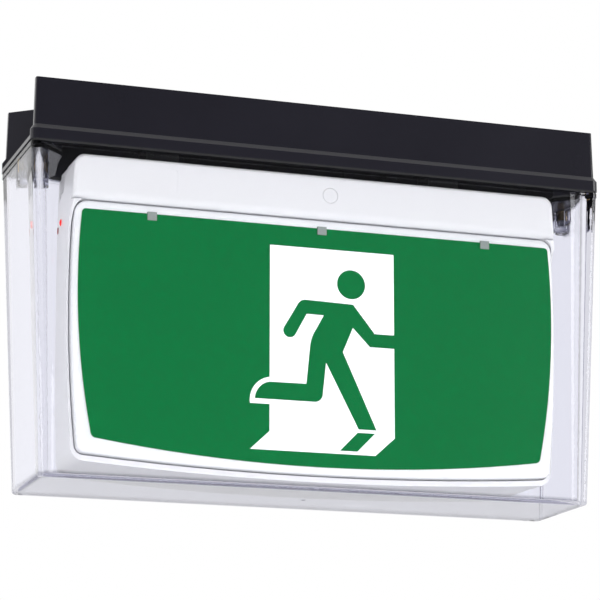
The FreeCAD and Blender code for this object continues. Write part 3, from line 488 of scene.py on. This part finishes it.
def buildInserts():  # brass sleeves moulded into the cover, with two bands of slanted knurls
    shape = bmesh.new()
    count = insert["around"]
    bore = [insert["bore"]] * count
    collar = [insert["outer"] - insert["collarStep"]] * count
    knurls = [insert["outer"] if index % 2 else insert["valley"] for index in range(count)]
    groove = [insert["bore"] + insert["grooveWall"]] * count
    half, slope, rim = insert["bandGap"] / 2, insert["bandSlope"], insert["collar"]
    for middle, low, high in screwEnds("cover_inserts"):
        waist = (low + high) / 2
        levels = [(low, bore), (low, collar), (low + rim, collar), (low + rim + slope, knurls),
                  (waist - half - slope, knurls), (waist - half, groove), (waist + half, groove),
                  (waist + half + slope, knurls), (high - rim - slope, knurls), (high - rim, collar),
                  (high, collar), (high, bore)]
        rings = []
        for z, radii in levels:
            side = 1 if z > waist else -1
            twist = side * insert["twist"] * (z - waist) / (high - low) if radii is knurls else 0.0
            rings.append(addRing(shape, middle, z, radii, twist))
        bridge(shape, rings + rings[:1])
    finishPiece("knurledInserts", shape, insertBrass, "cover_inserts")


buildScrews()
buildInserts()
print("screws and inserts built")


# Works inside the sign body.

guide = {"color": (0.88, 0.95, 0.95), "rough": 0.08, "drift": 0.02, "grainSize": 0.002,
         "grainDepth": 0.00002, "shader": {"Transmission Weight": 0.85, "IOR": 1.49}}
works = {
    "reflector_sheet": ("filmWhite", {"color": (0.9, 0.9, 0.9), "rough": 0.6, "drift": 0.02,
                                      "grainSize": 0.0006}),
    "led_strip": ("lampBoard", {"color": (0.8, 0.82, 0.8), "rough": 0.4, "drift": 0.05}),
    "battery_pack": ("sleeveGreen", {"color": (0.42, 0.5, 0.06), "rough": 0.22, "drift": 0.15,
                                     "grainSize": 0.004, "grainDepth": 0.00006}),
    "battery_straps": ("strapWhite", {"color": (0.7, 0.7, 0.68), "rough": 0.4, "drift": 0.04}),
    "board_standoffs": ("spacerBlack", {"color": (0.04, 0.04, 0.04), "rough": 0.4, "drift": 0.2}),
    "driver_board": ("boardGreen", {"color": (0.02, 0.16, 0.06), "rough": 0.3, "drift": 0.5,
                                    "grainSize": 0.002, "grainDepth": 0.00004}),
    "terminal_block": ("terminalGrey", {"color": (0.62, 0.63, 0.6), "rough": 0.35, "drift": 0.05})}

dress(mouldedPlastic("guideClear", **guide), "light_guide")
for node, (name, finish) in works.items():
    dress(mouldedPlastic(name, **finish), node)
print("works dressed")


# Floor, light and camera. A softbox faces its "aim".

ground = {"drop": 0.68, "size": 9.0,
          "finish": {"color": (0.86, 0.86, 0.87), "rough": 0.6, "drift": 0.02, "grainSize": 0.02,
                     "grainDepth": 0.00002}}
room = {"lit": 0.62, "shown": 1.0, "through": (0.93, 0.93, 0.98), "frontShine": 0.03, "throughShine": 0.25,
        "dimFrom": -0.55, "brightFrom": 0.15}
softboxes = {
    "keySoftbox": {"place": (1.9, -1.5, 0.1), "aim": (0, 0, -0.14), "width": 1.0, "height": 1.2,
                   "power": 20.0},
    "fillSoftbox": {"place": (-1.5, -1.5, -0.5), "aim": (0, 0, -0.14), "width": 1.2, "height": 1.2,
                    "power": 21.0},
    "lowSoftbox": {"place": (0.1, -0.6, -0.92), "aim": (0, 0, -0.2), "width": 1.6, "height": 0.5,
                   "power": 6.2}}
view = {"place": (-0.5892, -1.7284, -0.5663), "turn": 18.75, "rise": 13.28, "lens": 152.9,
        "sensor": 36.0, "reach": 50.0}


def buildFloor():
    low = cadBox[0]
    z = low[2] - ground["drop"]
    half = ground["size"] / 2
    mesh = bpy.data.meshes.new("floor")
    shape = bmesh.new()
    corners = ((-half, -half), (half, -half), (half, half), (-half, half))
    shape.faces.new([shape.verts.new((x, y, z)) for x, y in corners])
    shape.to_mesh(mesh)
    shape.free()
    floor = bpy.data.objects.new("floor", mesh)
    bpy.context.scene.collection.objects.link(floor)
    mesh.materials.append(mouldedPlastic("floorPale", **ground["finish"]))


# What is seen behind the object is white, also through clear plastic, and a softer level lights it. Polished
# faces mirror white from behind the object and a dim front.
def buildRoom():
    world = bpy.data.worlds.new("room")
    bpy.context.scene.world = world
    world.use_nodes = True
    tree = world.node_tree
    tree.nodes.clear()
    link = tree.links.new
    path = addNode(tree, "ShaderNodeLightPath", -800, 0)
    direct = addNode(tree, "ShaderNodeMath", -600, -100, operation="LESS_THAN")  # no diffuse bounce so far
    link(path.outputs["Diffuse Depth"], direct.inputs[0])
    direct.inputs[1].default_value = 0.5
    behind = addNode(tree, "ShaderNodeMath", -600, 100, operation="MAXIMUM")
    link(path.outputs["Is Camera Ray"], behind.inputs[0])
    link(path.outputs["Is Transmission Ray"], behind.inputs[1])
    seen = addNode(tree, "ShaderNodeMath", -400, 100, operation="MULTIPLY")
    link(behind.outputs[0], seen.inputs[0])
    link(direct.outputs[0], seen.inputs[1])
    level = addNode(tree, "ShaderNodeMapRange", -200, 100)
    level.inputs["To Min"].default_value = room["lit"]
    level.inputs["To Max"].default_value = room["shown"]
    link(seen.outputs[0], level.inputs["Value"])
    coords = addNode(tree, "ShaderNodeTexCoord", -800, -400)
    parts = addNode(tree, "ShaderNodeSeparateXYZ", -600, -400)
    link(coords.outputs["Generated"], parts.inputs["Vector"])
    shine = addNode(tree, "ShaderNodeMapRange", -400, -400, interpolation_type="SMOOTHSTEP")
    shine.inputs["From Min"].default_value = room["dimFrom"]
    shine.inputs["From Max"].default_value = room["brightFrom"]
    shine.inputs["To Min"].default_value = room["frontShine"]
    shine.inputs["To Max"].default_value = room["shown"]
    link(parts.outputs["Y"], shine.inputs["Value"])
    inside = addNode(tree, "ShaderNodeMath", -400, -600, operation="MULTIPLY")  # light that leaves the cover
    link(path.outputs["Is Transmission Ray"], inside.inputs[0])
    inside.inputs[1].default_value = room["throughShine"]
    mirrored = addNode(tree, "ShaderNodeMath", -200, -500, operation="MAXIMUM")
    link(inside.outputs[0], mirrored.inputs[0])
    link(shine.outputs["Result"], mirrored.inputs[1])
    strength = addNode(tree, "ShaderNodeMix", 0, 0, data_type="FLOAT")
    link(path.outputs["Is Glossy Ray"], strength.inputs["Factor"])
    link(level.outputs["Result"], strength.inputs["A"])
    link(mirrored.outputs[0], strength.inputs["B"])
    tint = addNode(tree, "ShaderNodeMix", 0, 300, data_type="RGBA")  # seen through the cover it is bluer
    tint.inputs["A"].default_value = (1, 1, 1, 1)
    tint.inputs["B"].default_value = rgba(room["through"])
    link(path.outputs["Is Transmission Ray"], tint.inputs["Factor"])
    back = addNode(tree, "ShaderNodeBackground", 200, 0)
    link(tint.outputs["Result"], back.inputs["Color"])
    link(strength.outputs["Result"], back.inputs["Strength"])
    out = addNode(tree, "ShaderNodeOutputWorld", 400, 0)
    link(back.outputs["Background"], out.inputs["Surface"])


def addSoftbox(name, place, aim, width, height, power):
    light = bpy.data.lights.new(name, "AREA")
    light.shape = "RECTANGLE"
    light.size = width
    light.size_y = height
    light.energy = power
    holder = bpy.data.objects.new(name, light)
    holder.location = place
    holder.rotation_euler = (Vector(aim) - Vector(place)).to_track_quat("-Z", "Y").to_euler()
    bpy.context.scene.collection.objects.link(holder)


def buildCamera():
    turn, rise = math.radians(view["turn"]), math.radians(view["rise"])
    toward = Vector((math.sin(turn) * math.cos(rise), math.cos(turn) * math.cos(rise), math.sin(rise)))
    data = bpy.data.cameras.new("camera")
    data.sensor_width = view["sensor"]
    data.lens = view["lens"]
    data.clip_end = view["reach"]
    camera = bpy.data.objects.new("camera", data)
    camera.location = view["place"]
    camera.rotation_euler = toward.to_track_quat("-Z", "Y").to_euler()
    bpy.context.scene.collection.objects.link(camera)
    bpy.context.scene.camera = camera


buildFloor()
buildRoom()
for name, values in softboxes.items():
    addSoftbox(name, **values)
buildCamera()
bpy.context.scene.view_settings.view_transform = "Standard"
print("stage ready")
